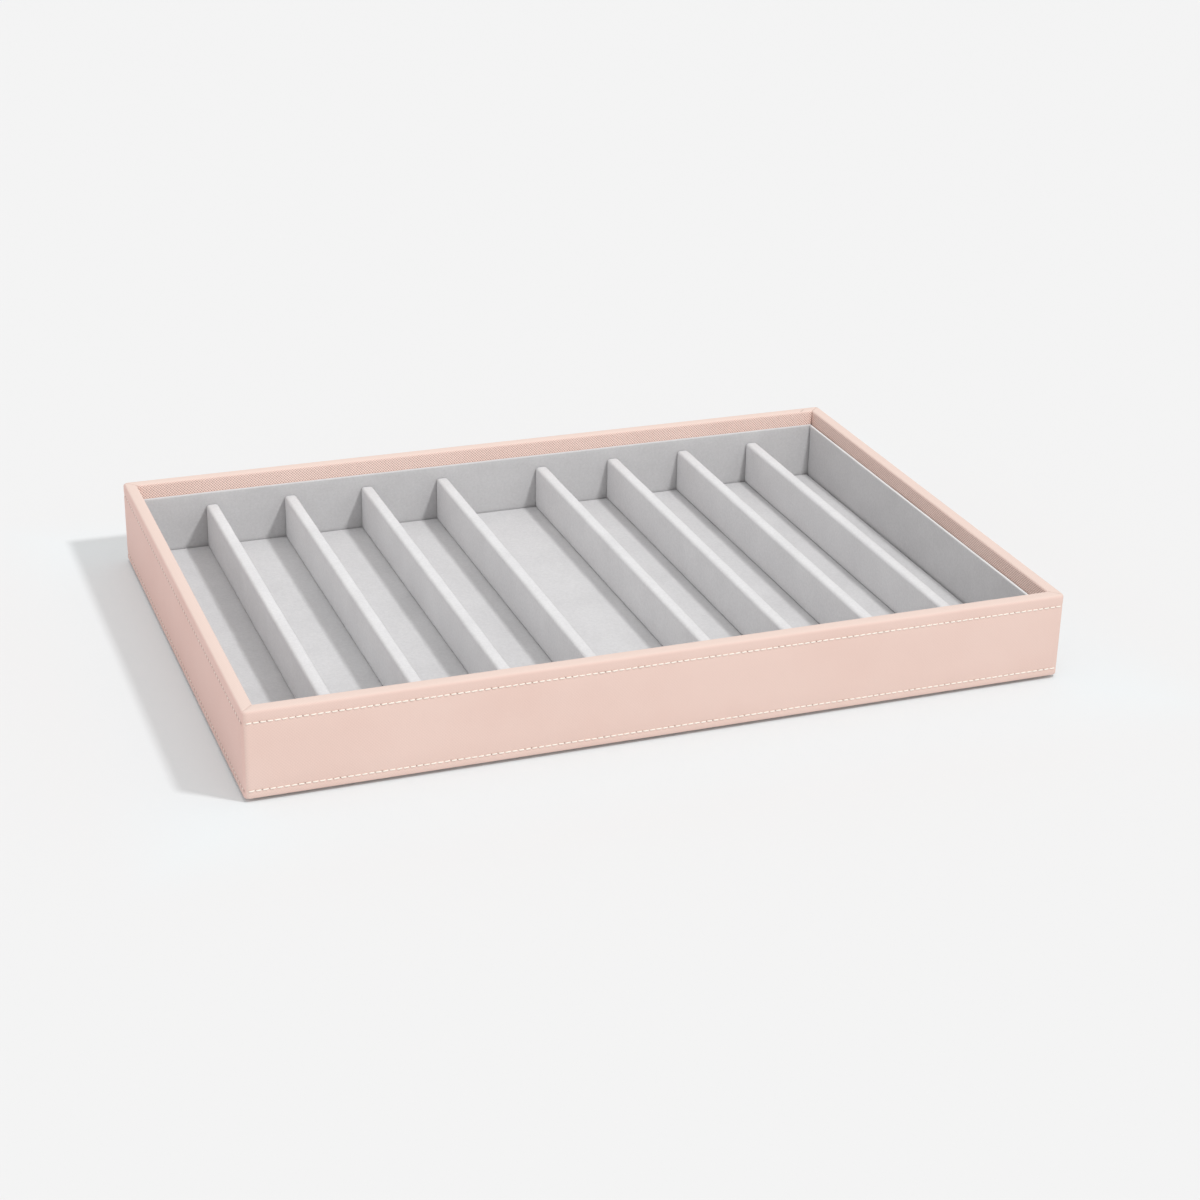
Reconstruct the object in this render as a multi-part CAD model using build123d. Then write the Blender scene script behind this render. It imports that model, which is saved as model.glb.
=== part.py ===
# Jewelry tray: a frame of covered boards with a lined well and eight fixed dividers.
# Millimetres. +X runs along the long side, +Y to the back and +Z up.
# The origin is the centre of the underside, on the surface that the tray stands on.
from build123d import *

import os

# Overall size, over the covering
tray_length = 365.0
tray_depth = 255.0
wall_height = 38.7

# Wall: a board with the covering on both faces, over the rim and under the bottom edge
wrap_thickness = 1.0
wall_board_thickness = 3.9
wall_corner_radius = 2.2
rim_outer_radius = 1.9
rim_inner_radius = 1.0
bottom_fold_radius = 1.4
inner_turn_in = 18.0
bottom_turn_in = 15.0
mitre_cut_width = 0.25
mitre_cut_setback = 1.3
closing_seam_width = 0.2
closing_seam_from_corner = 12.0

# Two rows of topstitching pull the covering in, so each lies in a shallow channel
upper_row_drop = 5.3
lower_row_rise = 3.5
row_channel_width = 1.0
row_channel_depth = 0.2

# Base: a board inside the walls, and a covered panel that stands proud below them
base_board_thickness = 1.6
base_card_thickness = 1.0
base_velvet_thickness = 0.5
stacking_clearance = 0.5
base_corner_radius = 2.0
base_edge_radius = 0.8

# Lining: velvet on card, on the four walls and on the floor
velvet_thickness = 0.6
liner_card_thickness = 0.7
liner_gap = 0.1
liner_drop = 7.1
liner_edge_radius = 0.8
floor_card_thickness = 1.0
floor_clearance = 0.15

# Dividers: velvet-covered boards from the front lining to the back lining
dividers_per_side = 4
divider_board_thickness = 4.5
divider_height = 21.4
divider_edge_radius = 1.4

# Compartments part the well: these are widths as shares of an ordinary one
middle_width_share = 1.418
end_width_share = 0.938

# Cuts run this far past what they cut
overrun = 1.0

# Levels, from the surface that the tray stands on
wall_bottom = base_velvet_thickness + base_card_thickness
rim_top = wall_bottom + wall_height
board_bottom = wall_bottom + wrap_thickness
board_top = rim_top - wrap_thickness
base_board_top = board_bottom + base_board_thickness
floor_top = base_board_top + floor_card_thickness + velvet_thickness
liner_top = rim_top - liner_drop
divider_top = floor_top + divider_height

# Insets from the outer face of the tray
board_outer_inset = wrap_thickness
board_inner_inset = board_outer_inset + wall_board_thickness
rim_thickness = board_inner_inset + wrap_thickness
liner_back_inset = rim_thickness + liner_gap
liner_face_inset = liner_back_inset + liner_card_thickness + velvet_thickness
base_inset = rim_thickness + stacking_clearance

# Well between the linings
well_length = tray_length - 2 * liner_face_inset
well_depth = tray_depth - 2 * liner_face_inset
divider_thickness = divider_board_thickness + 2 * velvet_thickness
divider_count = 2 * dividers_per_side
ordinary_count = divider_count - 2
width_shares = ordinary_count + middle_width_share + 2 * end_width_share
ordinary_width = (well_length - divider_count * divider_thickness) / width_shares
middle_width = middle_width_share * ordinary_width


def block(size_x, size_y, bottom, top):
    # A plain block centred on the tray, between two levels
    return Pos(0, 0, bottom) * Box(size_x, size_y, top - bottom, align=(Align.CENTER, Align.CENTER, Align.MIN))


def inset_block(inset, bottom, top):
    # A block that follows the tray's outline, set in from its outer face
    return block(tray_length - 2 * inset, tray_depth - 2 * inset, bottom, top)


def mitred_board(length, face_distance):
    # One wall board, along X at the front, with both ends cut at 45 degrees
    outer_half = length / 2 - board_outer_inset
    inner_half = length / 2 - board_inner_inset
    outer_y = -(face_distance - board_outer_inset)
    inner_y = -(face_distance - board_inner_inset)
    outline = Polyline(
        (-outer_half, outer_y), (outer_half, outer_y), (inner_half, inner_y), (-inner_half, inner_y), close=True
    )
    return Pos(0, 0, board_bottom) * extrude(make_face(outline), board_top - board_bottom)


def wall_boards():
    long_board = mitred_board(tray_length, tray_depth / 2)
    short_board = mitred_board(tray_depth, tray_length / 2)
    return {
        "front_wall_board": long_board,
        "back_wall_board": Rot(0, 0, 180) * long_board,
        "left_wall_board": Rot(0, 0, -90) * short_board,
        "right_wall_board": Rot(0, 0, 90) * short_board,
    }


def outer_wrap():
    # One strip of covering: up the outside, over the rim, down inside, and turned in under the boards
    wrap = inset_block(0, wall_bottom, rim_top)
    wrap = fillet(wrap.edges().filter_by(Axis.Z), wall_corner_radius)
    wrap = wrap - inset_block(rim_thickness, board_bottom, rim_top + overrun)
    wrap = fillet(wrap.faces().sort_by(Axis.Z)[-1].outer_wire().edges(), rim_outer_radius)
    wrap = fillet(wrap.faces().sort_by(Axis.Z)[-1].inner_wires()[0].edges(), rim_inner_radius)
    wrap = fillet(wrap.faces().sort_by(Axis.Z)[0].edges(), bottom_fold_radius)
    wrap = wrap - inset_block(bottom_turn_in, wall_bottom - overrun, board_bottom + overrun)
    board_space = inset_block(board_outer_inset, board_bottom, board_top)
    board_space = board_space - inset_block(board_inner_inset, board_bottom, board_top)
    wrap = wrap - board_space
    below_turn_in = inset_block(board_inner_inset, board_bottom, rim_top - inner_turn_in)
    wrap = wrap - below_turn_in
    for middle in (rim_top - upper_row_drop, wall_bottom + lower_row_rise):
        wrap = wrap - row_channel(middle)
    for cut in mitre_cuts():
        wrap = wrap - cut
    return wrap - closing_seam()


def row_channel(middle):
    # A shallow channel round the outside, along the middle of one row of stitches
    low = middle - row_channel_width / 2
    high = middle + row_channel_width / 2
    core = inset_block(row_channel_depth, low, high)
    core = fillet(core.edges().filter_by(Axis.Z), wall_corner_radius - row_channel_depth)
    return inset_block(-overrun, low, high) - core


def mitre_cuts():
    # Where the turned-in flaps meet at 45 degrees, behind each outer corner, which stays whole
    run = (bottom_turn_in + overrun - mitre_cut_setback) * 2**0.5
    height = wall_height + 2 * overrun
    cuts = []
    for side_x in (-1, 1):
        for side_y in (-1, 1):
            corner_x = side_x * (tray_length / 2 - mitre_cut_setback)
            corner_y = side_y * (tray_depth / 2 - mitre_cut_setback)
            turn = 45 if side_x == side_y else -45
            inward = Align.MAX if side_x > 0 else Align.MIN
            cut = Box(run, mitre_cut_width, height, align=(inward, Align.CENTER, Align.MIN))
            cuts.append(Pos(corner_x, corner_y, wall_bottom - overrun) * Rot(0, 0, turn) * cut)
    return cuts


def closing_seam():
    # The butt joint where the strip's two ends meet, on the back near the right corner
    cut = Box(
        closing_seam_width,
        bottom_turn_in + 2 * overrun,
        wall_height + 2 * overrun,
        align=(Align.CENTER, Align.MAX, Align.MIN),
    )
    place = Pos(tray_length / 2 - closing_seam_from_corner, tray_depth / 2 + overrun, wall_bottom - overrun)
    return place * cut


def base_pieces():
    board = inset_block(board_inner_inset, board_bottom, base_board_top)
    card = inset_block(base_inset + base_velvet_thickness, base_velvet_thickness, wall_bottom)
    velvet = inset_block(base_inset, 0, wall_bottom)
    velvet = fillet(velvet.edges().filter_by(Axis.Z), base_corner_radius)
    velvet = fillet(velvet.faces().sort_by(Axis.Z)[0].edges(), base_edge_radius)
    return {"base_board": board, "base_card": card, "base_velvet": velvet - card}


def covered_panel(length):
    # A lining panel along X, its back on Y = 0 and its velvet face towards +Y, standing on Z = 0.
    # The velvet goes over the card's face and round its four edges.
    height = liner_top - base_board_top
    depth = liner_card_thickness + velvet_thickness
    stand = (Align.CENTER, Align.MIN, Align.MIN)
    card = Box(length - 2 * velvet_thickness, liner_card_thickness, height - 2 * velvet_thickness, align=stand)
    card = Pos(0, 0, velvet_thickness) * card
    velvet = Box(length, depth, height, align=stand)
    top_edges = velvet.faces().sort_by(Axis.Z)[-1].edges().filter_by(Axis.X).sort_by(Axis.Y)
    velvet = fillet(top_edges[-1:], liner_edge_radius)
    return card, velvet - card


def liners():
    # The front and back panels run the full length, and the side panels stand between them
    long_length = tray_length - 2 * liner_back_inset
    places = {
        "front": (long_length, Pos(0, liner_back_inset - tray_depth / 2, base_board_top)),
        "back": (long_length, Pos(0, tray_depth / 2 - liner_back_inset, base_board_top) * Rot(0, 0, 180)),
        "left": (well_depth, Pos(liner_back_inset - tray_length / 2, 0, base_board_top) * Rot(0, 0, -90)),
        "right": (well_depth, Pos(tray_length / 2 - liner_back_inset, 0, base_board_top) * Rot(0, 0, 90)),
    }
    pieces = {}
    for side, (length, place) in places.items():
        card, velvet = covered_panel(length)
        pieces[f"{side}_liner_card"] = place * card
        pieces[f"{side}_liner_velvet"] = place * velvet
    return pieces


def floor_pieces():
    pad_length = well_length - 2 * floor_clearance
    pad_depth = well_depth - 2 * floor_clearance
    card_top = base_board_top + floor_card_thickness
    card = block(pad_length - 2 * velvet_thickness, pad_depth - 2 * velvet_thickness, base_board_top, card_top)
    velvet = block(pad_length, pad_depth, base_board_top, floor_top)
    return {"floor_card": card, "floor_velvet": velvet - card}


def divider_centres():
    # From left to right: the pitch is even on each side of the wider middle compartment
    first = (middle_width + divider_thickness) / 2
    pitch = ordinary_width + divider_thickness
    right_half = [first + step * pitch for step in range(dividers_per_side)]
    return [-centre for centre in reversed(right_half)] + right_half


def dividers():
    # The velvet goes over the top, both sides and both ends of the board, which stands on the floor
    board_length = well_depth - 2 * velvet_thickness
    board = block(divider_board_thickness, board_length, floor_top, divider_top - velvet_thickness)
    velvet = block(divider_thickness, well_depth, floor_top, divider_top)
    top_edges = velvet.faces().sort_by(Axis.Z)[-1].edges().filter_by(Axis.Y)
    velvet = fillet(top_edges, divider_edge_radius) - board
    pieces = {}
    for number, centre in enumerate(divider_centres(), start=1):
        pieces[f"divider_{number}_board"] = Pos(centre, 0, 0) * board
        pieces[f"divider_{number}_velvet"] = Pos(centre, 0, 0) * velvet
    return pieces


pieces = {"outer_wrap": outer_wrap()}
pieces.update(wall_boards())
pieces.update(base_pieces())
pieces.update(liners())
pieces.update(floor_pieces())
pieces.update(dividers())

os.makedirs("parts", exist_ok=True)
for name, shape in pieces.items():
    export_step(shape, f"parts/{name}.step")
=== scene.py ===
import math
import random

import bmesh
import bpy
import numpy as np
from mathutils import Matrix, Vector


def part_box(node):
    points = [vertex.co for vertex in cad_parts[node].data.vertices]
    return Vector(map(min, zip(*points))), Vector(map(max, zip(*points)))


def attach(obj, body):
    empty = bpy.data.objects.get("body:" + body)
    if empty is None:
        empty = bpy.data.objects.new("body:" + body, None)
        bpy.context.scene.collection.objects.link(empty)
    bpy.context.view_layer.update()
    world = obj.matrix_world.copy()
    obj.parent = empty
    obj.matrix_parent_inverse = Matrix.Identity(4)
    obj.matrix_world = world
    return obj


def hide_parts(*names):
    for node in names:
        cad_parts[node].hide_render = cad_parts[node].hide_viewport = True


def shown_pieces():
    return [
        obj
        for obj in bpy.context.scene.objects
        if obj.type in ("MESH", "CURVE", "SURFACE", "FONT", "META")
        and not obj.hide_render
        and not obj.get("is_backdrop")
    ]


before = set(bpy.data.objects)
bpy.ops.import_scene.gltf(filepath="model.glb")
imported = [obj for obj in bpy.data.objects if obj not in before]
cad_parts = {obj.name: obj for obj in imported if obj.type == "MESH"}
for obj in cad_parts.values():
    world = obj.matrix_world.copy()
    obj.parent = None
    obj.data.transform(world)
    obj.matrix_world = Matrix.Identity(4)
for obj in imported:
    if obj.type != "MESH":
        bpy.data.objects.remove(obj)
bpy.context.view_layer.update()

mm = 0.001
hair = 0.01 * mm  # closer than this counts as touching
random.seed(7)

# The tray's own levels and sizes, read from the frame
wrapLow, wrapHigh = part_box("outer_wrap")
boardLow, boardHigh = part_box("front_wall_board")
halfLength = wrapHigh.x
halfDepth = wrapHigh.y
rimTop = wrapHigh.z
wallBottom = wrapLow.z
midHeight = (rimTop + wallBottom) / 2
skinThickness = boardLow.z - wrapLow.z
rimThickness = 2 * skinThickness + (boardHigh.y - boardLow.y)
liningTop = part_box("front_liner_velvet")[1].z


# Small helpers for working on a piece

def near(a, b, gap=hair):
    return abs(a - b) < gap


def selectOnly(pieces):
    bpy.ops.object.select_all(action="DESELECT")
    for piece in pieces:
        piece.select_set(True)
    bpy.context.view_layer.objects.active = pieces[0]


def startEdit(piece):
    selectOnly([piece])
    bpy.ops.object.mode_set(mode="EDIT")


def endEdit():
    bpy.ops.object.mode_set(mode="OBJECT")


def pickFaces(piece, test):
    bpy.ops.mesh.select_mode(type="FACE")
    bpy.ops.mesh.select_all(action="DESELECT")
    shape = bmesh.from_edit_mesh(piece.data)
    for face in shape.faces:
        face.select_set(bool(test(face.calc_center_median(), face.normal)))
    bmesh.update_edit_mesh(piece.data)


def pickEdges(piece, test):
    bpy.ops.mesh.select_mode(type="EDGE")
    bpy.ops.mesh.select_all(action="DESELECT")
    shape = bmesh.from_edit_mesh(piece.data)
    for edge in shape.edges:
        edge.select_set(bool(test(edge.verts[0].co, edge.verts[1].co, edge.link_faces)))
    bmesh.update_edit_mesh(piece.data)


def faceOutwards():
    bpy.ops.mesh.select_all(action="SELECT")
    bpy.ops.mesh.normals_make_consistent(inside=False)


def addBlock(name, low, high):
    # A block between two corners, with its origin left at the middle of the tray
    bpy.ops.object.select_all(action="DESELECT")
    bpy.ops.mesh.primitive_cube_add(size=1, location=(Vector(low) + Vector(high)) / 2)
    piece = bpy.context.object
    piece.name = name
    piece.scale = Vector(high) - Vector(low)
    bpy.ops.object.transform_apply(location=True, rotation=True, scale=True)
    return piece


def cutPass(piece, axis, cuts, shortest):
    # Cuts the edges that run along one axis, longer than the shortest, on faces of the first material
    def along(a, b, faces):
        run = b - a
        straight = abs(run[axis]) > 0.999 * run.length
        return straight and run.length > shortest and any(face.material_index == 0 for face in faces)

    pickEdges(piece, along)
    bpy.ops.mesh.subdivide(number_cuts=cuts)


def cutAlong(piece, axis, length, parts):
    # Cuts one direction of a piece into equal parts, first into a few and then each of those
    few = next(number for number in (8, 6, 5, 4, 3, 2, 1) if parts % number == 0)
    if few > 1:
        cutPass(piece, axis, few - 1, length / 2)
    each = parts // few
    if each > 1:
        cutPass(piece, axis, each - 1, length / few / 2)


def readPoints(piece):
    points = np.zeros(len(piece.data.vertices) * 3)
    piece.data.vertices.foreach_get("co", points)
    return points.reshape(-1, 3)


def writePoints(piece, points):
    piece.data.vertices.foreach_set("co", points.ravel())
    piece.data.update()


def keepOnPoints(piece, name, values):
    # One number for each point, which a material reads
    layer = piece.data.attributes.new(name, "FLOAT", "POINT")
    layer.data.foreach_set("value", values.astype(np.float32))


def applyModifier(piece, modifier):
    bpy.context.view_layer.objects.active = piece
    bpy.ops.object.modifier_apply(modifier=modifier.name)


def ruffle(piece, size, strength, name):
    # A slow unevenness of the surface
    cloud = bpy.data.textures.new(name, "CLOUDS")
    cloud.noise_scale = size
    cloud.noise_depth = 1
    modifier = piece.modifiers.new("ruffle", "DISPLACE")
    modifier.texture = cloud
    modifier.texture_coords = "LOCAL"
    modifier.strength = strength
    modifier.mid_level = 0.5
    applyModifier(piece, modifier)


def smoothOver(piece, degrees):
    selectOnly([piece])
    bpy.ops.object.shade_smooth_by_angle(angle=math.radians(degrees))


# Small helpers for materials

def newMaterial(name):
    material = bpy.data.materials.new(name)
    material.use_nodes = True
    nodes = material.node_tree.nodes
    return material, nodes, material.node_tree.links, nodes["Principled BSDF"]


def addNode(nodes, kind, **settings):
    node = nodes.new(kind)
    for key, value in settings.items():
        setattr(node, key, value)
    return node


def setSockets(node, values):
    for socket, value in values.items():
        node.inputs[socket].default_value = value


def feed(links, sockets, values):
    # Each value is a number or colour for its socket, or another node's output
    for socket, value in zip(sockets, values):
        if isinstance(value, (int, float)):
            socket.default_value = value
        elif isinstance(value, tuple):
            socket.default_value = (*value, 1)
        else:
            links.new(value, socket)


def objectPlace(nodes):
    return nodes.new("ShaderNodeTexCoord").outputs["Object"]


def pointValue(nodes, name):
    return addNode(nodes, "ShaderNodeAttribute", attribute_name=name).outputs["Fac"]


def mapPlace(nodes, name):
    return addNode(nodes, "ShaderNodeUVMap", uv_map=name).outputs["UV"]


def splitPlace(nodes, links, place):
    node = nodes.new("ShaderNodeSeparateXYZ")
    links.new(place, node.inputs[0])
    return node.outputs


def noiseNode(nodes, links, place, scale, detail, roughness):
    noise = nodes.new("ShaderNodeTexNoise")
    setSockets(noise, {"Scale": scale, "Detail": detail, "Roughness": roughness})
    links.new(place, noise.inputs["Vector"])
    return noise.outputs["Fac"]


def rampNode(nodes, links, factor, stops, low, high):
    # From one colour to the other, between the two stops
    ramp = nodes.new("ShaderNodeValToRGB")
    for element, stop, colour in zip(ramp.color_ramp.elements, stops, (low, high)):
        element.position = stop
        element.color = (*colour, 1)
    links.new(factor, ramp.inputs["Fac"])
    return ramp.outputs["Color"]


def rangeNode(nodes, links, value, start, end, atStart=0, atEnd=1, kind="LINEAR"):
    node = addNode(nodes, "ShaderNodeMapRange", interpolation_type=kind)
    setSockets(node, {"From Min": start, "From Max": end, "To Min": atStart, "To Max": atEnd})
    links.new(value, node.inputs["Value"])
    return node.outputs["Result"]


def mathNode(nodes, links, operation, first, second=0):
    node = addNode(nodes, "ShaderNodeMath", operation=operation)
    feed(links, node.inputs, (first, second))
    return node.outputs[0]


def mixColour(nodes, links, blend, amount, first, second):
    node = addNode(nodes, "ShaderNodeMix", data_type="RGBA", blend_type=blend)
    feed(links, [node.inputs[index] for index in (0, 6, 7)], (amount, first, second))
    return node.outputs[2]


def bumpNode(nodes, links, height, strength, distance, normal=None):
    bump = nodes.new("ShaderNodeBump")
    setSockets(bump, {"Strength": strength, "Distance": distance})
    links.new(height, bump.inputs["Height"])
    if normal is not None:
        links.new(normal, bump.inputs["Normal"])
    return bump.outputs["Normal"]


# Each noise in a dictionary is its scale, detail and roughness, each bump its strength and height,
# and the stops are where a ramp starts and ends
white = (1.0, 1.0, 1.0)

leather = {
    "colour": (0.842, 0.634, 0.562),
    "deeper": (0.820, 0.604, 0.532),
    "cloudNoise": (22, 3, 0.55),
    "cloudStops": (0.3, 0.62),
    # Painted sheen: the paler, less pink tone of the lit rim
    "rim": (0.80, 0.635, 0.565),
    "rimBlend": 0.6 * mm,
    # Painted shade: a redder tone on the left wall's outer face, which is in shade
    "leftShadeTint": (1.0, 0.93, 0.94),
    "hatchTurns": ((45, 0.9), (-45, 1.3)),  # degrees, and how far the lines wander
    "hatchDetail": (2, 0.6),  # how much, and its scale
    "hatchPitch": 0.96 * mm,
    "hatchBase": 0.3,
    "hatchStops": (0.1, 0.5),
    # Painted shade in the hatch's grooves and painted highlight on its ridges
    "hatchLow": (0.37, 0.34, 0.35),
    "hatchHigh": (1.07, 1.08, 1.08),
    "hatchOutside": 0.07,
    "hatchFades": (-0.8 * mm, 1.2 * mm),  # along the strip, from the rim's inner edge
    "poreNoise": (2600, 3, 0.6),
    "poreShare": 0.35,
    "grainBump": (0.7, 0.15 * mm),
    # Painted shade in the needle holes, the mitre folds and the closing seam
    "shadedPit": (0.20, 0.09, 0.07),
    "glossy": (0.56, 0.56, 0.56),
    "matt": (0.68, 0.68, 0.68),
    "roughStops": (0.2, 0.8),
    "specular": 0.16,
}


def hatchLines(nodes, links, strip, turn, wander):
    # One set of parallel lines. At a scale of 1, Blender's wave has a line every 2 pi / 20 metres
    turned = nodes.new("ShaderNodeMapping")
    turned.inputs["Rotation"].default_value = (0, 0, math.radians(turn))
    links.new(strip, turned.inputs["Vector"])
    wave = addNode(nodes, "ShaderNodeTexWave", wave_type="BANDS", bands_direction="X", wave_profile="SIN")
    detail, detailScale = leather["hatchDetail"]
    setSockets(wave, {"Scale": 2 * math.pi / (leather["hatchPitch"] * 20), "Distortion": wander,
                      "Detail": detail, "Detail Scale": detailScale})
    links.new(turned.outputs["Vector"], wave.inputs["Vector"])
    return mathNode(nodes, links, "ADD", wave.outputs["Fac"], leather["hatchBase"])


def leatheretteMaterial():
    # A pressed cross-hatched grain that follows the strip round the wall, over fine pores
    material, nodes, links, shader = newMaterial("leatherette")
    place = objectPlace(nodes)
    strip = mapPlace(nodes, "strip")
    up = splitPlace(nodes, links, strip)[1]
    hatch = [hatchLines(nodes, links, strip, turn, wander) for turn, wander in leather["hatchTurns"]]
    ridges = mathNode(nodes, links, "MULTIPLY", *hatch)
    pores = noiseNode(nodes, links, place, *leather["poreNoise"])

    # Pulled tight outside and over the rim, so the hatch, its bump and its painted shade and highlight, is
    # fainter there than inside
    fadeStart, fadeEnd = (rimTop + rimThickness + edge for edge in leather["hatchFades"])
    crispness = rangeNode(nodes, links, up, fadeStart, fadeEnd, leather["hatchOutside"])
    clouds = noiseNode(nodes, links, place, *leather["cloudNoise"])
    tone = rampNode(nodes, links, clouds, leather["cloudStops"], leather["deeper"], leather["colour"])

    # A paler, less pink tone over the rim: painted sheen where the lamp falls on the top
    fromRim = mathNode(nodes, links, "SUBTRACT", up, rimTop + rimThickness / 2)
    overRim = rangeNode(nodes, links, mathNode(nodes, links, "ABSOLUTE", fromRim),
                        rimThickness / 2 + leather["rimBlend"], rimThickness / 2 - leather["rimBlend"])
    tone = mixColour(nodes, links, "MIX", overRim, tone, leather["rim"])

    # Painted shade: the left wall's outer face, which the lamp leaves in shade, is made a touch pinker
    tone = mixColour(nodes, links, "MULTIPLY", pointValue(nodes, "leftWallPaintedShade"), tone, leather["leftShadeTint"])
    # Painted shade in the hatch's grooves and painted highlight on its ridges
    hatchShadeAndHighlight = rampNode(nodes, links, ridges, leather["hatchStops"], leather["hatchLow"], leather["hatchHigh"])
    skin = mixColour(nodes, links, "MULTIPLY", crispness, tone, hatchShadeAndHighlight)
    # Painted shade in the needle holes, the mitre folds and the closing seam
    skin = mixColour(nodes, links, "MIX", pointValue(nodes, "pit"), skin, leather["shadedPit"])
    links.new(skin, shader.inputs["Base Color"])
    rough = rampNode(nodes, links, pores, leather["roughStops"], leather["glossy"], leather["matt"])
    links.new(rough, shader.inputs["Roughness"])
    shader.inputs["Specular IOR Level"].default_value = leather["specular"]
    height = mathNode(nodes, links, "ADD", mathNode(nodes, links, "MULTIPLY", ridges, crispness),
                      mathNode(nodes, links, "MULTIPLY", pores, leather["poreShare"]))
    links.new(bumpNode(nodes, links, height, *leather["grainBump"]), shader.inputs["Normal"])
    return material


velvet = {
    "colour": (0.725, 0.717, 0.723),
    "brushed": (0.78, 0.773, 0.778),
    "leanNoise": (38, 4, 0.6),
    "leanStops": (0.32, 0.7),
    "leanBump": (0.3, 0.6 * mm),
    "tuftNoise": (2400, 4, 0.7),
    "tuftStops": (0.25, 0.75),
    "tuftShade": (0.86, 0.86, 0.86),
    "tuftShare": 0.7,
    "tuftBump": (0.5, 0.12 * mm),
    "napNoise": (800, 2, 0.6),
    "napStops": (0.3, 0.7),
    "napShade": (0.9, 0.9, 0.9),
    "napShare": 0.8,
    # Painted highlight on a lining's top edge
    "crownHighlight": (0.93, 0.93, 0.94),
    # Painted shade in the joints between pieces of velvet
    "joint": (0.36, 0.36, 0.37),
    "jointReach": (0.2 * mm, 0.9 * mm),
    "sockets": {
        "Roughness": 0.95,
        "Specular IOR Level": 0.15,
        "Sheen Weight": 0.3,
        "Sheen Roughness": 0.4,
        "Sheen Tint": (0.98, 0.98, 1.0, 1),
    },
    # Brightness of each copy of the velvet: below 1 is painted shade, above 1 painted light
    "floorPaintedShade": 0.96,
    "longLiningPaintedShade": 0.79,
    "shortLiningPaintedShade": 0.90,
    "dividerPaintedLight": 1.05,
}


def velvetMaterial(name, shade):
    # Short pile: fine tufts, slow patches where the pile leans another way, and a soft sheen
    material, nodes, links, shader = newMaterial(name)
    place = objectPlace(nodes)
    lean = noiseNode(nodes, links, place, *velvet["leanNoise"])
    tone = rampNode(nodes, links, lean, velvet["leanStops"], [shade * part for part in velvet["colour"]],
                    [shade * part for part in velvet["brushed"]])
    tufts = noiseNode(nodes, links, place, *velvet["tuftNoise"])
    fleck = rampNode(nodes, links, tufts, velvet["tuftStops"], velvet["tuftShade"], white)
    nap = noiseNode(nodes, links, place, *velvet["napNoise"])
    speckle = rampNode(nodes, links, nap, velvet["napStops"], velvet["napShade"], white)
    pile = mixColour(nodes, links, "MULTIPLY", velvet["tuftShare"], tone, fleck)
    pile = mixColour(nodes, links, "MULTIPLY", velvet["napShare"], pile, speckle)

    # Painted highlight along a lining's top edge, and painted shade in the joint where two pieces of velvet
    # meet
    pile = mixColour(nodes, links, "MIX", pointValue(nodes, "crownHighlight"), pile, velvet["crownHighlight"])
    # Painted shade, darker towards each joint
    joint = rangeNode(nodes, links, pointValue(nodes, "fromJoint"), *velvet["jointReach"], 1, 0)
    pile = mixColour(nodes, links, "MULTIPLY", joint, pile, velvet["joint"])
    links.new(pile, shader.inputs["Base Color"])
    setSockets(shader, velvet["sockets"])
    fine = bumpNode(nodes, links, tufts, *velvet["tuftBump"])
    links.new(bumpNode(nodes, links, lean, *velvet["leanBump"], fine), shader.inputs["Normal"])
    return material


cotton = {
    "colour": (1.0, 0.945, 0.86),
    # Painted shade in the grooves between the plies
    "grooves": (0.93, 0.83, 0.73),
    "stops": (0.0, 0.55),
    "plies": 3,
    "twist": 4.5,
    "plyShare": 0.5,
    "fibreNoise": (5200, 2, 0.5),
    "bump": (0.6, 0.05 * mm),
    "sockets": {"Roughness": 0.6, "Sheen Weight": 0.2},
}


def threadMaterial():
    # Plies that wind round each stitch, read from its own map, with painted shade in the grooves between them
    material, nodes, links, shader = newMaterial("sewing_thread")
    around, along, depth = splitPlace(nodes, links, mapPlace(nodes, "stitch"))
    winding = mathNode(nodes, links, "ADD", mathNode(nodes, links, "MULTIPLY", around, cotton["plies"]),
                       mathNode(nodes, links, "MULTIPLY", along, cotton["twist"]))
    ply = mathNode(nodes, links, "SINE", mathNode(nodes, links, "MULTIPLY", winding, 2 * math.pi))
    fibres = noiseNode(nodes, links, objectPlace(nodes), *cotton["fibreNoise"])
    ply = mathNode(nodes, links, "MULTIPLY", ply, cotton["plyShare"])
    height = mathNode(nodes, links, "ADD", ply, fibres)
    tone = rampNode(nodes, links, height, cotton["stops"], cotton["grooves"], cotton["colour"])
    links.new(tone, shader.inputs["Base Color"])
    setSockets(shader, cotton["sockets"])
    links.new(bumpNode(nodes, links, height, *cotton["bump"]), shader.inputs["Normal"])
    return material


board = {
    "dark": (0.30, 0.24, 0.18),
    "pale": (0.48, 0.40, 0.31),
    "stops": (0.3, 0.7),
    "fibreNoise": (900, 6, 0.65),
    "bump": (0.4, 0.1 * mm),
    "roughness": 0.9,
}


def boardMaterial():
    # Grey-brown fibreboard and card, inside the covered pieces
    material, nodes, links, shader = newMaterial("fibre_board")
    fibres = noiseNode(nodes, links, objectPlace(nodes), *board["fibreNoise"])
    tone = rampNode(nodes, links, fibres, board["stops"], board["dark"], board["pale"])
    links.new(tone, shader.inputs["Base Color"])
    shader.inputs["Roughness"].default_value = board["roughness"]
    links.new(bumpNode(nodes, links, fibres, *board["bump"]), shader.inputs["Normal"])
    return material


backing = {
    "dark": (0.66, 0.60, 0.55),
    "pale": (0.78, 0.73, 0.68),
    "stops": (0.3, 0.7),
    "weaveNoise": (1500, 2, 0.5),
    "roughness": 0.95,
}


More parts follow.
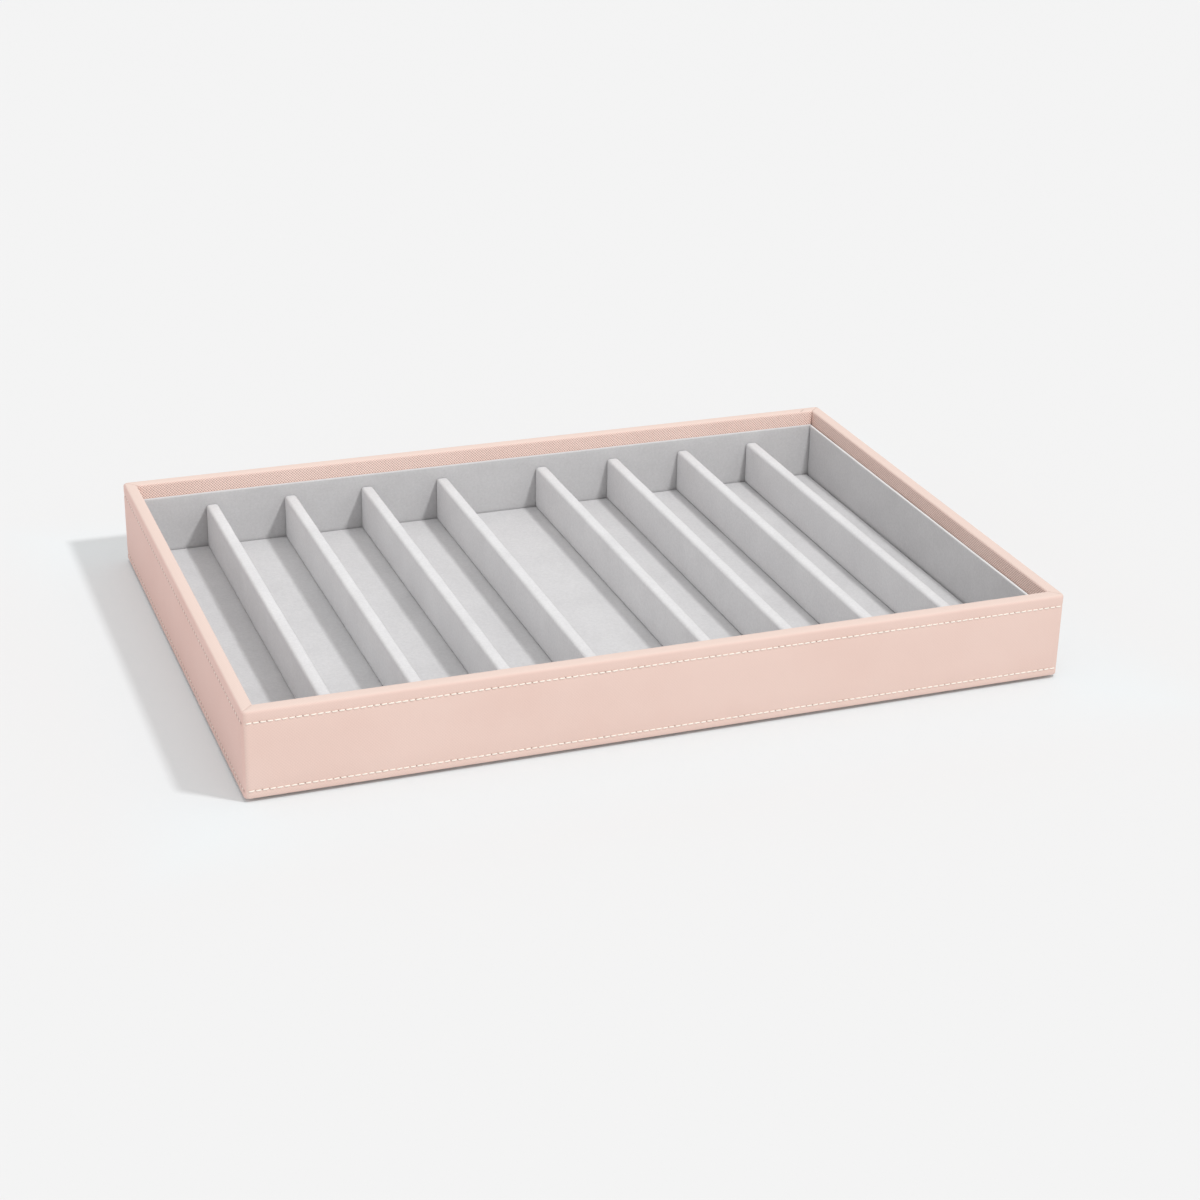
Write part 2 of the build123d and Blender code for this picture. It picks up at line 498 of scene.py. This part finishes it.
def backingMaterial():
    # The woven cloth on the back of the leatherette
    material, nodes, links, shader = newMaterial("backing_cloth")
    weave = noiseNode(nodes, links, objectPlace(nodes), *backing["weaveNoise"])
    tone = rampNode(nodes, links, weave, backing["stops"], backing["dark"], backing["pale"])
    links.new(tone, shader.inputs["Base Color"])
    shader.inputs["Roughness"].default_value = backing["roughness"]
    return material


print("materials")
leatherette = leatheretteMaterial()
# Copies of one velvet, darker on the floor and linings as painted shade, paler on the dividers as painted
# light
floorVelvet = velvetMaterial("velvet", velvet["floorPaintedShade"])
longLiningVelvet = velvetMaterial("back_velvet_painted_shade", velvet["longLiningPaintedShade"])
shortLiningVelvet = velvetMaterial("side_velvet_painted_shade", velvet["shortLiningPaintedShade"])
dividerVelvet = velvetMaterial("divider_velvet_painted_light", velvet["dividerPaintedLight"])
thread = threadMaterial()
fibreBoard = boardMaterial()
backingCloth = backingMaterial()


# The leatherette strip round the four walls

wrap = {
    "turnInDepth": 18 * mm,
    "bottomTurnIn": 15 * mm,
    "rimOuterRadius": 1.3 * mm,
    "rimInnerRadius": 0.8 * mm,
    "footRadius": 0.6 * mm,
    "cornerRadius": 2.2 * mm,
    "rowHeights": (rimTop - 5.3 * mm, wallBottom + 3.5 * mm),
    "levelsAtRow": (-1.15 * mm, -0.45 * mm, 0, 0.45 * mm, 1.15 * mm),
    "levelsBetween": (-7 * mm, 0, 7 * mm),
    "longPitch": 2.87 * mm,
    "shortPitch": 3.49 * mm,
    "columnsPerStitch": 4,
    "channelHalfWidth": 0.6 * mm,
    "channelDepths": (0.16 * mm, 0.07 * mm),  # the first of each pair is for the long walls
    "holeDepths": (0.26 * mm, 0.10 * mm),
    "holeRadii": (0.30 * mm, 0.68 * mm),
    "holeShades": (0.85, 1.0),
    "foldDepth": 0.35 * mm,
    "foldReach": 0.9 * mm,
    "foldSlide": 0.72,
    "foldShade": 0.7,
    "seamFromCorner": 12 * mm,
    "seamHalfWidth": 0.1 * mm,
    "seamShade": 0.6,
    "shadeShare": 0.9,
    "shadePower": 1.5,
    "leftShadeReach": 0.8 * mm,
}
longStitches = round(2 * halfLength / wrap["longPitch"])
shortStitches = round(2 * halfDepth / wrap["shortPitch"])


def straightAt(level):
    # Edges at one level that run along the tray or across it
    def test(a, b):
        flat = near(a.z, level) and near(b.z, level)
        return flat and (near(a.x, b.x) or near(a.y, b.y))
    return test


def reachesOut(a, b):
    return max(abs(a.x), abs(b.x)) > halfLength - hair and max(abs(a.y), abs(b.y)) > halfDepth - hair


def staysInside(a, b):
    # On the inner half of the rim
    return max(abs(a.x), abs(b.x)) < halfLength - rimThickness / 2


def blockOutWrap():
    # A block is opened into a wall with a rim, then given its skin's thickness
    piece = addBlock("leatherette_wrap", wrapLow, wrapHigh)
    piece.data.materials.append(leatherette)
    piece.data.materials.append(backingCloth)
    startEdit(piece)
    pickFaces(piece, lambda centre, normal: normal.z > 0.9)
    bpy.ops.mesh.inset(thickness=rimThickness, depth=0)
    bpy.ops.mesh.extrude_region_move(TRANSFORM_OT_translate={"value": (0, 0, -wrap["turnInDepth"])})
    bpy.ops.mesh.delete(type="FACE")
    pickFaces(piece, lambda centre, normal: normal.z < -0.9)
    bpy.ops.mesh.inset(thickness=wrap["bottomTurnIn"], depth=0)
    bpy.ops.mesh.delete(type="FACE")

    atRim = straightAt(rimTop)
    atFoot = straightAt(wallBottom)
    pickEdges(piece, lambda a, b, faces: atRim(a, b) and reachesOut(a, b))
    bpy.ops.mesh.bevel(offset=wrap["rimOuterRadius"], segments=5, affect="EDGES")
    pickEdges(piece, lambda a, b, faces: atRim(a, b) and staysInside(a, b))
    bpy.ops.mesh.bevel(offset=wrap["rimInnerRadius"], segments=3, affect="EDGES")
    pickEdges(piece, lambda a, b, faces: atFoot(a, b) and reachesOut(a, b))
    bpy.ops.mesh.bevel(offset=wrap["footRadius"], segments=3, affect="EDGES")
    faceOutwards()
    endEdit()

    skin = piece.modifiers.new("skin", "SOLIDIFY")
    skin.thickness = skinThickness
    skin.offset = -1
    skin.use_even_offset = True
    skin.material_offset = 1
    skin.material_offset_rim = 1
    applyModifier(piece, skin)
    return piece


def cutUpWrap(piece):
    # Levels round each row of stitches, then columns that keep step with the stitches
    levels = [row + step for row in wrap["rowHeights"] for step in wrap["levelsAtRow"]]
    levels += [sum(wrap["rowHeights"]) / 2 + step for step in wrap["levelsBetween"]]
    closeTo = skinThickness / 3

    def onOutside(centre, normal):
        return near(abs(centre.x), halfLength, closeTo) or near(abs(centre.y), halfDepth, closeTo)

    startEdit(piece)
    for level in levels:
        pickFaces(piece, onOutside)
        bpy.ops.mesh.bisect(plane_co=(0, 0, level), plane_no=(0, 0, 1))
    cutAlong(piece, 0, 2 * (halfLength - rimThickness), longStitches * wrap["columnsPerStitch"])
    cutAlong(piece, 1, 2 * (halfDepth - rimThickness), shortStitches * wrap["columnsPerStitch"])
    endEdit()


def outsideMask(piece):
    # The points of the outer side, which the first material is on
    mask = np.zeros(len(piece.data.vertices), bool)
    for face in piece.data.polygons:
        if face.material_index == 0:
            mask[list(face.vertices)] = True
    return mask


def dipRows(points, outside, across, inward):
    # Each outer face dips along its two rows, and deeper at the needle holes, which are shaded
    def perWall(pair):
        return np.where(inward < across, *pair)

    x, y, z = points.T
    onLong = outside & (inward < hair)
    onShort = outside & (across < hair)
    normal = np.zeros_like(points)
    normal[onLong, 1] = np.sign(y[onLong])
    normal[onShort, 0] = np.sign(x[onShort])
    length = np.linalg.norm(normal, axis=1)
    normal[length > 0] /= length[length > 0, None]
    along = np.where(inward < across, x + halfLength, y + halfDepth)
    pitch = perWall((2 * halfLength / longStitches, 2 * halfDepth / shortStitches))
    phase = along / pitch + 0.5
    fromHole = (phase - np.round(phase)) * pitch
    radius = perWall(wrap["holeRadii"])
    shade = np.zeros(len(points))
    for row in wrap["rowHeights"]:
        channel = perWall(wrap["channelDepths"]) * np.exp(-((z - row) / wrap["channelHalfWidth"]) ** 2)
        hole = np.exp(-((z - row) / radius) ** 2) * np.exp(-(fromHole / radius) ** 2)
        hole[~(onLong | onShort)] = 0
        shade = np.maximum(shade, hole * perWall(wrap["holeShades"]))
        points -= normal * (channel + perWall(wrap["holeDepths"]) * hole)[:, None]
    return shade


def roundCorners(points, outside):
    # The four upright corners: square rings become circles of the same reach
    radius = wrap["cornerRadius"]
    reachX = np.abs(points[:, 0]) - (halfLength - radius)
    reachY = np.abs(points[:, 1]) - (halfDepth - radius)
    corner = outside & (reachX > 0) & (reachY > 0)
    ring = np.maximum(reachX[corner], reachY[corner])
    size = np.hypot(reachX[corner], reachY[corner])
    signX, signY = np.sign(points[corner, :2]).T
    points[corner, 0] = signX * (halfLength - radius + reachX[corner] * ring / size)
    points[corner, 1] = signY * (halfDepth - radius + reachY[corner] * ring / size)


def foldMitres(points, outside, across, inward, shade):
    # Where the flaps meet at 45 degrees the skin folds in, over the rim and down the inside corner
    x, y, z = points.T
    fromOutside = np.minimum(across, inward)
    fromFold = np.abs(across - inward)
    inner = outside & (z > midHeight) & (fromOutside > wrap["rimOuterRadius"])
    fold = inner & (fromFold < wrap["foldReach"] * math.sqrt(2))
    onLong = inward[fold] < across[fold]
    slide = wrap["foldSlide"] * fromFold[fold]
    points[fold, 0] += np.sign(x[fold]) * np.where(onLong, slide, 0)
    points[fold, 1] += np.sign(y[fold]) * np.where(onLong, 0, slide)
    deep = inner & (fromFold < hair)
    facing = np.clip((fromOutside[deep] - rimThickness) / wrap["rimInnerRadius"] + 1, 0, 1)
    upward = np.clip((z[deep] - rimTop) / wrap["rimInnerRadius"] + 1, 0, 1)
    size = np.hypot(facing, upward)
    points[deep, 2] -= wrap["foldDepth"] * upward / size
    points[deep, 0] += np.sign(x[deep]) * wrap["foldDepth"] * facing / size
    points[deep, 1] += np.sign(y[deep]) * wrap["foldDepth"] * facing / size
    # Painted shade along the fold
    shade[deep] = wrap["foldShade"]


def closeStrip(points, outside, inward, shade):
    # The butt joint where the strip closes, on the column that is nearest to its place on the back
    column = 2 * halfLength / (longStitches * wrap["columnsPerStitch"])
    seamX = halfLength - round(wrap["seamFromCorner"] / column) * column
    x, y, z = points.T
    toSeam = x - seamX
    onBack = outside & (y > halfDepth - rimThickness - hair) & (np.abs(toSeam) < wrap["foldReach"])
    points[onBack, 0] -= wrap["foldSlide"] * toSeam[onBack]
    joint = onBack & (np.abs(toSeam) < wrap["seamHalfWidth"])
    onTop = z[joint] > rimTop - wrap["foldDepth"]
    outer = ~onTop & (inward[joint] < wrap["rimOuterRadius"])
    points[joint, 1] -= np.where(outer, wrap["foldDepth"], 0)
    points[joint, 2] -= np.where(onTop, wrap["foldDepth"], 0)
    # Painted shade in the joint
    shade[joint] = wrap["seamShade"]


def shapeWrap(piece):
    outside = outsideMask(piece)
    points = readPoints(piece)
    across = halfLength - np.abs(points[:, 0])
    inward = halfDepth - np.abs(points[:, 1])
    shade = dipRows(points, outside, across, inward)
    roundCorners(points, outside)
    foldMitres(points, outside, across, inward, shade)
    closeStrip(points, outside, inward, shade)
    writePoints(piece, points)
    keepOnPoints(piece, "pit", wrap["shadeShare"] * shade ** wrap["shadePower"])
    # The left wall's outer face, in shade, which gets painted shade
    onLeft = outside & (across < wrap["leftShadeReach"]) & (points[:, 0] < 0)
    keepOnPoints(piece, "leftWallPaintedShade", onLeft)


def unrollWrap(piece):
    # A flat map of the strip: round the walls, and from the foot up, over the rim and down inside
    points = readPoints(piece)
    layer = piece.data.uv_layers.new(name="strip")
    corners = np.zeros(len(piece.data.loops), int)
    piece.data.loops.foreach_get("vertex_index", corners)
    flat = np.zeros((len(corners), 2))
    for face in piece.data.polygons:
        onLong = halfDepth - abs(face.center.y) < halfLength - abs(face.center.x)
        loops = slice(face.loop_start, face.loop_start + face.loop_total)
        here = points[corners[loops]]
        height = here[:, 2]
        inward = halfDepth - np.abs(here[:, 1]) if onLong else halfLength - np.abs(here[:, 0])
        up = np.where(inward < rimThickness / 2, height + inward, 2 * rimTop - height + inward)
        up = np.where(height < midHeight, height - inward, up)
        flat[loops, 0] = here[:, 0] if onLong else here[:, 1]
        flat[loops, 1] = up
    layer.data.foreach_set("uv", flat.ravel())


print("leatherette wrap")
wrapPiece = blockOutWrap()
cutUpWrap(wrapPiece)
shapeWrap(wrapPiece)
unrollWrap(wrapPiece)
smoothOver(wrapPiece, 40)
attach(wrapPiece, "root")
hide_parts("outer_wrap")


# Topstitching: one stitch is modelled, then repeated along each wall

stitch = {
    "longShare": 0.90,  # of the distance from hole to hole
    "longRise": 0.03 * mm,
    "shortShare": 0.54,
    "shortRise": -0.21 * mm,
    "width": 0.66 * mm,
    "height": 0.50 * mm,
    "dive": 0.34 * mm,
    "divePower": 6,
    "slant": 3.0,
    "slantSpread": 3.0,
    "sinkSpread": 0.03 * mm,
    "lengthSpread": (0.93, 1.05),
}
longWall = (halfDepth, longStitches, 2 * halfLength, stitch["longShare"], stitch["longRise"])
shortWall = (halfLength, shortStitches, 2 * halfDepth, stitch["shortShare"], stitch["shortRise"])
walls = [(-90, longWall), (0, shortWall), (90, longWall), (180, shortWall)]


def oneStitch(length):
    # A short bolster of thread that lies along Y
    bpy.ops.object.select_all(action="DESELECT")
    bpy.ops.mesh.primitive_uv_sphere_add(segments=8, ring_count=8, radius=0.5,
                                         rotation=(math.radians(90), 0, 0))
    piece = bpy.context.object
    piece.scale = (stitch["width"], stitch["height"], length)
    piece.data.uv_layers[0].name = "stitch"
    piece.data.materials.append(thread)
    bpy.ops.object.transform_apply(location=True, rotation=True, scale=True)
    return piece


def wallOfStitches(turn, reach, count, length, share, rise, height):
    # The stitches of one wall stand on X first, run along Y, and are then turned to their wall
    pitch = length / count
    span = share * pitch
    piece = oneStitch(span)
    size = len(piece.data.vertices)
    row = piece.modifiers.new("row", "ARRAY")
    row.count = count - 1
    row.use_relative_offset = False
    row.use_constant_offset = True
    row.constant_offset_displace = (0, pitch, 0)
    applyModifier(piece, row)
    points = readPoints(piece).reshape(-1, size, 3)
    for number, single in enumerate(points):
        # Fuller towards its ends, which dive into the holes, and each one a little unlike the last
        single[:, 1] -= number * pitch
        toEnd = 2 * single[:, 1] / span
        fuller = np.sqrt(1 + toEnd ** 2)
        upward = single[:, 0] * fuller
        out = single[:, 2] * fuller + rise - stitch["dive"] * toEnd ** stitch["divePower"]
        out += random.uniform(-1, 1) * stitch["sinkSpread"]
        run = single[:, 1] * random.uniform(*stitch["lengthSpread"])
        tilt = math.radians(stitch["slant"] + random.uniform(-1, 1) * stitch["slantSpread"])
        single[:, 0] = reach + out
        single[:, 1] = run * math.cos(tilt) - upward * math.sin(tilt) + (number + 1) * pitch - length / 2
        single[:, 2] = run * math.sin(tilt) + upward * math.cos(tilt) + height
    placed = points.reshape(-1, 3) @ np.array(Matrix.Rotation(math.radians(turn), 3, "Z")).T
    writePoints(piece, placed)
    return piece


def stitchRow(name, height):
    selectOnly([wallOfStitches(turn, *wall, height) for turn, wall in walls])
    bpy.ops.object.join()
    piece = bpy.context.object
    piece.name = name
    startEdit(piece)
    faceOutwards()
    endEdit()
    smoothOver(piece, 80)
    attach(piece, "root")


print("topstitching")
for rowName, rowHeight in zip(("topstitch_upper", "topstitch_lower"), wrap["rowHeights"]):
    stitchRow(rowName, rowHeight)


# Velvet-covered cards and boards

cover = {
    "cell": 3.2 * mm,
    "footEdge": 0.5 * mm,
    "crownReach": 0.5 * mm,
    "unevenness": 0.22 * mm,
    "unevenSize": 14 * mm,
}

# Butting names the sides that meet a neighbour: 1 to 3 are the high ends of X, Y and Z, and -1 to -3 the low
longLining = {
    "velvet": longLiningVelvet,
    "thickness": 0.6 * mm,
    "edge": 0.8 * mm,
    "crownHighlight": 0.3,
    "butting": (-1, 1, -3),
}
shortLining = {
    "velvet": shortLiningVelvet,
    "thickness": 0.6 * mm,
    "edge": 0.8 * mm,
    "crownHighlight": 1.0,
    "butting": (-2, 2, -3),
    "lean": 0.45 * mm,
    "leanReach": 7 * mm,
    "sag": 0.35 * mm,
    "wander": ((0.3, 17 * mm, 1.1), (0.2, 7.3 * mm, 0)),  # share, length and start of each wave
}
trayFloor = {
    "velvet": floorVelvet,
    "thickness": 0.6 * mm,
    "edge": 0.5 * mm,
    "crownHighlight": 0,
    "butting": (-1, 1, -2, 2),
}
trayBase = {
    "velvet": floorVelvet,
    "thickness": 0.5 * mm,
    "edge": 0.5 * mm,
    "crownHighlight": 0,
    "butting": (),
}
divider = {
    "velvet": dividerVelvet,
    "thickness": 0.6 * mm,
    "edge": 1.4 * mm,
    "crownHighlight": 0,
    "butting": (-2, 2, -3),
}


def softenEdges(piece, low, high, axis, openLevel, edge):
    # Round on the edges that show, and smaller on the open side's own edges
    def onBox(point):
        return sum(near(point[i], low[i]) or near(point[i], high[i]) for i in range(3))

    def showing(a, b, faces):
        return onBox(a) == 3 and onBox(b) == 3 and not (near(a[axis], openLevel) and near(b[axis], openLevel))

    def foot(a, b, faces):
        outer = [i for i in range(3) if i != axis and near(a[i], b[i])
                 and (near(a[i], low[i]) or near(a[i], high[i]))]
        return outer and near(a[axis], openLevel) and near(b[axis], openLevel) and len(faces) == 2

    pickEdges(piece, showing)
    bpy.ops.mesh.bevel(offset=edge, segments=4, affect="EDGES")
    pickEdges(piece, foot)
    bpy.ops.mesh.bevel(offset=cover["footEdge"], segments=2, affect="EDGES")


def markVelvet(piece, low, high, axis, openLevel, look):
    # How strong the painted highlight on the top edge is, and how far each point is from the nearest joint,
    # where shade is painted
    points = readPoints(piece)
    crownHighlight = look["crownHighlight"] * np.clip((points[:, 2] - high.z) / cover["crownReach"] + 1, 0, 1)
    crownHighlight[np.abs(points[:, axis] - openLevel) < 0.8 * cover["footEdge"]] = 0
    keepOnPoints(piece, "crownHighlight", crownHighlight)
    fromJoint = np.ones(len(points))
    for end in look["butting"]:
        index = abs(end) - 1
        level = (high if end > 0 else low)[index]
        fromJoint = np.minimum(fromJoint, np.abs(points[:, index] - level))
    keepOnPoints(piece, "fromJoint", fromJoint)


def coveredPiece(name, node, openSide, look):
    # A velvet skin over its card, open on one side
    low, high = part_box(node)
    side = Vector(openSide)
    axis = max(range(3), key=lambda index: abs(side[index]))
    openLevel = high[axis] if side[axis] > 0 else low[axis]
    piece = addBlock(name, low, high)
    piece.data.materials.append(look["velvet"])
    startEdit(piece)
    pickFaces(piece, lambda centre, normal: normal.dot(side) > 0.9)
    bpy.ops.mesh.inset(thickness=look["thickness"], depth=0)
    depth = high[axis] - low[axis] - look["thickness"]
    bpy.ops.mesh.extrude_region_move(TRANSFORM_OT_translate={"value": -side * depth})
    softenEdges(piece, low, high, axis, openLevel, look["edge"])
    for direction in range(3):
        length = high[direction] - low[direction]
        parts = round(length / cover["cell"])
        if parts > 1:
            cutAlong(piece, direction, length, parts + parts % 2)
    faceOutwards()
    endEdit()
    markVelvet(piece, low, high, axis, openLevel, look)
    ruffle(piece, cover["unevenSize"], cover["unevenness"], name + "_ruffle")
    smoothOver(piece, 45)
    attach(piece, "root")
    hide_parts(node)
    return piece


def standOff(piece, inward):
    # The top edge of a short wall's lining leans off the wall and dips, more in some places
    points = readPoints(piece)
    nearTop = np.clip((points[:, 2] - liningTop) / shortLining["leanReach"] + 1, 0, 1) ** 2
    wander = 0.5
    for share, length, start in shortLining["wander"]:
        wander = wander + share * np.sin(points[:, 1] / length + start)
    points[:, 0] += inward * shortLining["lean"] * nearTop * wander
    points[:, 2] -= shortLining["sag"] * nearTop * (1 - wander)
    writePoints(piece, points)


print("velvet linings")
coveredPiece("velvet_front", "front_liner_velvet", (0, -1, 0), longLining)
coveredPiece("velvet_back", "back_liner_velvet", (0, 1, 0), longLining)
standOff(coveredPiece("velvet_left", "left_liner_velvet", (-1, 0, 0), shortLining), 1)
standOff(coveredPiece("velvet_right", "right_liner_velvet", (1, 0, 0), shortLining), -1)
coveredPiece("velvet_floor", "floor_velvet", (0, 0, -1), trayFloor)
coveredPiece("velvet_base", "base_velvet", (0, 0, 1), trayBase)
print("velvet dividers")
for number in range(1, 9):
    coveredPiece(f"velvet_divider_{number}", f"divider_{number}_velvet", (0, 0, -1), divider)

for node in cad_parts.values():
    if not node.hide_render:
        for materialSlot in node.material_slots:
            materialSlot.link = "OBJECT"
            materialSlot.material = fibreBoard


# Floor, light and camera

studio = {
    "floorSize": 40.0,
    "floorColour": (0.785, 0.785, 0.785),
    "floorSockets": {"Roughness": 0.9, "Specular IOR Level": 0.1},
    "besideTray": (0.779, 0.822, 0.838),
    "besideReach": 70 * mm,
    "background": (0.905, 0.905, 0.905),
    "evenShare": 0.2,
    "evenFrom": 1.3,
    "evenBy": 3.2,
    "worldStrength": 0.79,
    "lampPlace": (0.24, -0.44, 0.75),
    "lampStrength": 14.3,
    "lampRadius": 0.045,
    "lowestSlope": 0.2,
}


def addFloor():
    # A pale diffuse floor; for the camera a share of it glows at the background's level
    bpy.ops.object.select_all(action="DESELECT")
    bpy.ops.mesh.primitive_plane_add(size=studio["floorSize"], location=(0, 0, 0))
    floor = bpy.context.object
    floor.name = "studio_floor"
    material, nodes, links, shader = newMaterial("pale_floor")
    setSockets(shader, studio["floorSockets"])
    place = objectPlace(nodes)
    across, inward, up = splitPlace(nodes, links, place)
    outward = [mathNode(nodes, links, "SUBTRACT", mathNode(nodes, links, "ABSOLUTE", axis), half)
               for axis, half in ((across, halfLength), (inward, halfDepth))]
    fromTray = mathNode(nodes, links, "MAXIMUM", *outward)

    # A slightly cooler floor beside the tray, where the pink walls would tint it
    beside = rangeNode(nodes, links, fromTray, 0, studio["besideReach"], 1, 0, "SMOOTHSTEP")
    colour = mixColour(nodes, links, "MIX", beside, studio["floorColour"], studio["besideTray"])
    links.new(colour, shader.inputs["Base Color"])

    # No glow under the tray, so its edge stands on a dark line, and all of it far away,
    # where the floor then meets the background with no edge
    clear = mathNode(nodes, links, "GREATER_THAN", fromTray)
    distance = addNode(nodes, "ShaderNodeVectorMath", operation="LENGTH")
    links.new(place, distance.inputs[0])
    further = rangeNode(nodes, links, distance.outputs["Value"], studio["evenFrom"], studio["evenBy"],
                        studio["evenShare"], 1, "SMOOTHSTEP")
    path = nodes.new("ShaderNodeLightPath")
    share = mathNode(nodes, links, "MULTIPLY", path.outputs["Is Camera Ray"], further)
    even = nodes.new("ShaderNodeEmission")
    even.inputs["Color"].default_value = (*studio["background"], 1)
    mix = nodes.new("ShaderNodeMixShader")
    links.new(mathNode(nodes, links, "MULTIPLY", share, clear), mix.inputs["Fac"])
    links.new(shader.outputs["BSDF"], mix.inputs[1])
    links.new(even.outputs["Emission"], mix.inputs[2])
    links.new(mix.outputs["Shader"], nodes["Material Output"].inputs["Surface"])
    floor.data.materials.append(material)
    floor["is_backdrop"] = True


def addLamp():
    # One soft lamp above the front right, whose light reaches a level floor evenly
    lamp = bpy.data.lights.new("key", "POINT")
    lamp.energy = 1.0
    lamp.shadow_soft_size = studio["lampRadius"]
    lamp.use_nodes = True
    nodes, links = lamp.node_tree.nodes, lamp.node_tree.links
    falloff = nodes.new("ShaderNodeLightFalloff")
    falloff.inputs["Strength"].default_value = studio["lampStrength"]
    direction = splitPlace(nodes, links, nodes.new("ShaderNodeTexCoord").outputs["Normal"])
    slope = mathNode(nodes, links, "ABSOLUTE", direction["Z"])
    slope = mathNode(nodes, links, "MAXIMUM", slope, studio["lowestSlope"])
    strength = mathNode(nodes, links, "DIVIDE", falloff.outputs["Constant"], slope)
    links.new(strength, nodes["Emission"].inputs["Strength"])
    key = bpy.data.objects.new("key", lamp)
    key.location = studio["lampPlace"]
    bpy.context.scene.collection.objects.link(key)


def addWorld():
    # White light from all round, behind which the camera sees the background's own level
    world = bpy.data.worlds.new("studio")
    world.use_nodes = True
    nodes, links = world.node_tree.nodes, world.node_tree.links
    light = nodes["Background"]
    setSockets(light, {"Color": (*white, 1), "Strength": studio["worldStrength"]})
    seen = nodes.new("ShaderNodeBackground")
    seen.inputs["Color"].default_value = (*studio["background"], 1)
    path = nodes.new("ShaderNodeLightPath")
    mix = nodes.new("ShaderNodeMixShader")
    links.new(path.outputs["Is Camera Ray"], mix.inputs["Fac"])
    links.new(light.outputs["Background"], mix.inputs[1])
    links.new(seen.outputs["Background"], mix.inputs[2])
    links.new(mix.outputs["Shader"], nodes["World Output"].inputs["Surface"])
    bpy.context.scene.world = world


viewpoint = {
    "place": (-350.92 * mm, -957.62 * mm, 467.19 * mm),
    "azimuth": -20.854,
    "elevation": 24.218,
    "roll": 1.238,
    "focalPixels": 2420.6,
    "picturePixels": 1200,
    "sensor": 36.0,
}


def addCamera():
    azimuth, elevation = math.radians(viewpoint["azimuth"]), math.radians(viewpoint["elevation"])
    back = Vector((math.sin(azimuth) * math.cos(elevation), -math.cos(azimuth) * math.cos(elevation),
                   math.sin(elevation)))
    right = (-back).cross(Vector((0, 0, 1))).normalized()
    up = right.cross(-back)
    roll = math.radians(viewpoint["roll"])
    turnedRight = right * math.cos(roll) + up * math.sin(roll)
    turnedUp = up * math.cos(roll) - right * math.sin(roll)
    lens = bpy.data.cameras.new("camera")
    lens.sensor_width = viewpoint["sensor"]
    lens.lens = viewpoint["focalPixels"] / viewpoint["picturePixels"] * viewpoint["sensor"]
    camera = bpy.data.objects.new("camera", lens)
    camera.matrix_world = Matrix((
        (turnedRight.x, turnedUp.x, back.x, viewpoint["place"][0]),
        (turnedRight.y, turnedUp.y, back.y, viewpoint["place"][1]),
        (turnedRight.z, turnedUp.z, back.z, viewpoint["place"][2]),
        (0, 0, 0, 1),
    ))
    bpy.context.scene.collection.objects.link(camera)
    bpy.context.scene.camera = camera


print("floor, light and camera")
addFloor()
addLamp()
addWorld()
addCamera()
bpy.context.scene.view_settings.view_transform = "Standard"

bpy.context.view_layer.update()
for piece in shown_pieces():
    print(piece.name, sum(len(face.vertices) - 2 for face in piece.data.polygons))
